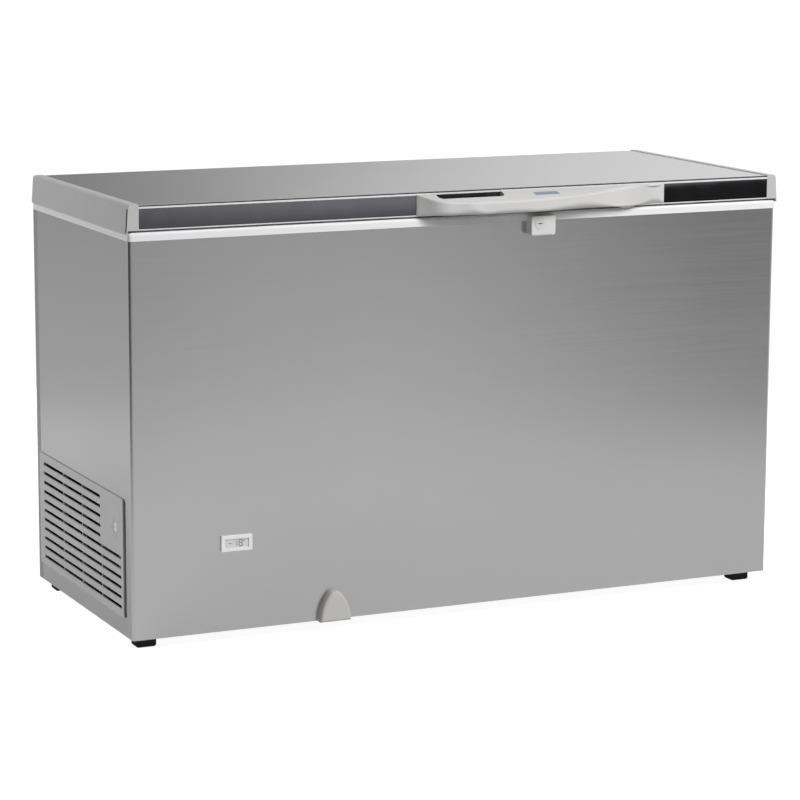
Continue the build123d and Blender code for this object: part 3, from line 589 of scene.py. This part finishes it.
def make_cap_seams():
    """Painted shade: a near-black strip near the front of each end cap, for the shadow line there, following
    its sloping side.
    """
    low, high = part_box("lid_end_cap_left")
    lean, proud = 0.0041, 0.00015
    near, far = low.y + 0.003, low.y + 0.009
    bottom, top = low.z + 0.003, high.z - 0.009
    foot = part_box("lid_end_cap_right")[1].x
    at_bottom, at_top = [foot - lean * (z - low.z) / (high.z - low.z) for z in (bottom, top)]
    for side, name in ((-1, "cap_groove_shade_left"), (1, "cap_groove_shade_right")):
        lower, upper = side * at_bottom, side * at_top
        outline = [(lower, near, bottom), (lower, far, bottom), (upper, far, top), (upper, near, top)]
        make_slab(name, outline, (side * proud, 0, 0), "lid")


def make_keyway():
    """Painted shade: a near-black fill inside the lock's keyway."""
    low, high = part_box("lock_cylinder")
    radius = (high.z - low.z) / 2
    x, z = low.x + radius, low.z + radius
    half_wide, half_tall, depth = 0.0044, 0.00105, 0.006
    outline = upright(x - half_wide, x + half_wide, low.y + 0.0002, z - half_tall, z + half_tall)
    make_slab("keyway", outline, (0, depth, 0), "lock_barrel")


def make_drain_screen():
    """Painted shade: a near-black sheet inside the drain cover, behind its slots."""
    low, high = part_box("drain_cover")
    middle = (low.x + high.x) / 2
    near = low.y + 0.0033
    half_bottom, half_top, thick = 0.015, 0.011, 0.0008
    bottom, top = high.z - 0.03, high.z - 0.0095
    outline = [(middle - half_bottom, near, bottom), (middle + half_bottom, near, bottom),
               (middle + half_top, near, top), (middle - half_top, near, top)]
    make_slab("drain_slot_shade", outline, (0, thick, 0), "drain_cover")


for basket_node in ("basket_left", "basket_right"):
    make_basket(basket_node)
make_gasket()
make_digits()
make_dial_scale()
make_dust_mat()
make_edge_seal()
make_drain_screen()
make_keyway()
make_cap_seams()


# ---------------------------------------------------------------- studio
FLOOR_RADIUS = 2.7
FLOOR_WHITE = 0.9
FLOOR_GLOW = 0.2
GROUND_LIGHT = 0.64
ROOM_LIGHT = 0.24
DARKEST = 0.05
FILL_LIGHT = 0.13
BACKDROP = 1.05
# azimuth, elevation, half width of the full part, half width of the whole area, and the
# brightness that it adds, which is below zero for a dark area
STUDIO_AREAS = [
    (8, 60, 15, 52, 0.7),
    (143.2, 20, 10, 19, 0.92),
    (-60, -6, 36, 64, -0.6),
    (8, -10, 4, 16, -0.4),
    (-160, -15, 8, 28, -0.17),
    (35, -4.5, 5.5, 8.8, -0.9),
]
# name, azimuth, elevation, size and power
LAMPS = [("key", 24, 42, 2.6, 322), ("left_fill", -140, 18, 3.0, 225)]
LAMP_DISTANCE = 6
LAMP_TARGET = Vector((0, 0, 0.45))
CAMERA_SPOT = Vector((-2.6988, -5.7554, 1.5894))
CAMERA_AZIMUTH, CAMERA_ELEVATION, CAMERA_ROLL = -24.96, 10.48, 0.2535
CAMERA_LENS, CAMERA_SHIFT = 132.1, 0.0039


def aim(azimuth, elevation):
    """The unit direction at an azimuth, 0 to the front and 90 to the right, and at an elevation."""
    a, e = math.radians(azimuth), math.radians(elevation)
    return Vector((math.sin(a) * math.cos(e), -math.cos(a) * math.cos(e), math.sin(e)))


def choose(tree, factor, otherwise, chosen):
    """One of two values, by a factor of 0 or 1."""
    mix = add(tree, "ShaderNodeMix", {"Factor": factor, "A": otherwise, "B": chosen}, data_type="FLOAT")
    return mix.outputs["Result"]


def make_world():
    """A studio: areas that only reflections see, an even fill, and plain white for the camera."""
    world = bpy.data.worlds.new("studio")
    bpy.context.scene.world = world
    world.use_nodes = True
    tree = world.node_tree
    direction = add(tree, "ShaderNodeTexCoord").outputs["Generated"]
    height = add(tree, "ShaderNodeSeparateXYZ", {"Vector": direction}).outputs["Z"]
    total = add(tree, "ShaderNodeMapRange", {
        "Value": height, "From Min": -0.2, "From Max": 0.06, "To Min": GROUND_LIGHT, "To Max": ROOM_LIGHT,
    }, interpolation_type="SMOOTHSTEP").outputs["Result"]
    for azimuth, elevation, inside, outside, bright in STUDIO_AREAS:
        inputs = {0: direction, 1: aim(azimuth, elevation)}
        along = add(tree, "ShaderNodeVectorMath", inputs, operation="DOT_PRODUCT")
        lobe = add(tree, "ShaderNodeMapRange", {
            "Value": along.outputs["Value"], "From Min": math.cos(math.radians(outside)),
            "From Max": math.cos(math.radians(inside)), "To Min": 0.0, "To Max": bright,
        }, interpolation_type="SMOOTHSTEP").outputs["Result"]
        total = sum_of(tree, total, lobe)
    total = sum_of(tree, total, DARKEST, "MAXIMUM")
    ray = add(tree, "ShaderNodeLightPath").outputs
    total = choose(tree, ray["Is Diffuse Ray"], total, FILL_LIGHT)
    total = choose(tree, ray["Is Camera Ray"], total, BACKDROP)
    tree.links.new(total, tree.nodes["Background"].inputs["Strength"])
    tree.nodes["Background"].inputs["Color"].default_value = (1, 1, 1, 1)


def make_floor():
    """A round pale floor that glows a little, and is plain white to the camera."""
    material, tree, shader = begin("floor_look")
    grain = noise(tree, 3, detail=4)
    tree.links.new(between(tree, grain, (0.44, 0.44, 0.44), (0.46, 0.46, 0.46)), shader.inputs["Base Color"])
    shader.inputs["Roughness"].default_value = 0.9
    shader.inputs["Specular IOR Level"].default_value = 0.1
    shader.inputs["Emission Color"].default_value = (1, 1, 1, 1)
    seen = add(tree, "ShaderNodeLightPath").outputs["Is Camera Ray"]
    tree.links.new(choose(tree, seen, FLOOR_GLOW, FLOOR_WHITE), shader.inputs["Emission Strength"])
    mesh = bpy.data.meshes.new("floor")
    edit = bmesh.new()
    bmesh.ops.create_circle(edit, cap_ends=True, radius=FLOOR_RADIUS, segments=96)
    edit.to_mesh(mesh)
    edit.free()
    floor = bpy.data.objects.new("floor", mesh)
    floor.location.z = cad_box[0].z - 0.0005
    mesh.materials.append(material)
    bpy.context.scene.collection.objects.link(floor)


def make_softbox(name, azimuth, elevation, size, power):
    """A square area light that faces the object and has no reflection of its own."""
    light = bpy.data.lights.new(name, "AREA")
    light.shape = "SQUARE"
    light.size = size
    light.energy = power
    lamp = bpy.data.objects.new(name, light)
    out = aim(azimuth, elevation)
    lamp.location = LAMP_TARGET + out * LAMP_DISTANCE
    lamp.rotation_euler = out.to_track_quat("Z", "Y").to_euler()
    lamp.visible_glossy = False
    bpy.context.scene.collection.objects.link(lamp)


def make_camera():
    """The camera that looks at the front and the left end from a little above."""
    roll = math.radians(CAMERA_ROLL)
    back = aim(CAMERA_AZIMUTH, CAMERA_ELEVATION)
    ahead = -back
    right = ahead.cross(Vector((0, 0, 1))).normalized()
    up = right.cross(ahead)
    tilted_right = right * math.cos(roll) + up * math.sin(roll)
    tilted_up = up * math.cos(roll) - right * math.sin(roll)
    data = bpy.data.cameras.new("camera")
    data.sensor_width = 36
    data.lens = CAMERA_LENS
    data.shift_y = CAMERA_SHIFT
    data.clip_end = 100
    camera = bpy.data.objects.new("camera", data)
    turn = Matrix((tilted_right, tilted_up, back)).transposed().to_4x4()
    camera.matrix_world = Matrix.Translation(CAMERA_SPOT) @ turn
    bpy.context.scene.collection.objects.link(camera)
    bpy.context.scene.camera = camera


make_world()
make_floor()
for lamp_values in LAMPS:
    make_softbox(*lamp_values)
make_camera()
bpy.context.scene.view_settings.view_transform = "Standard"
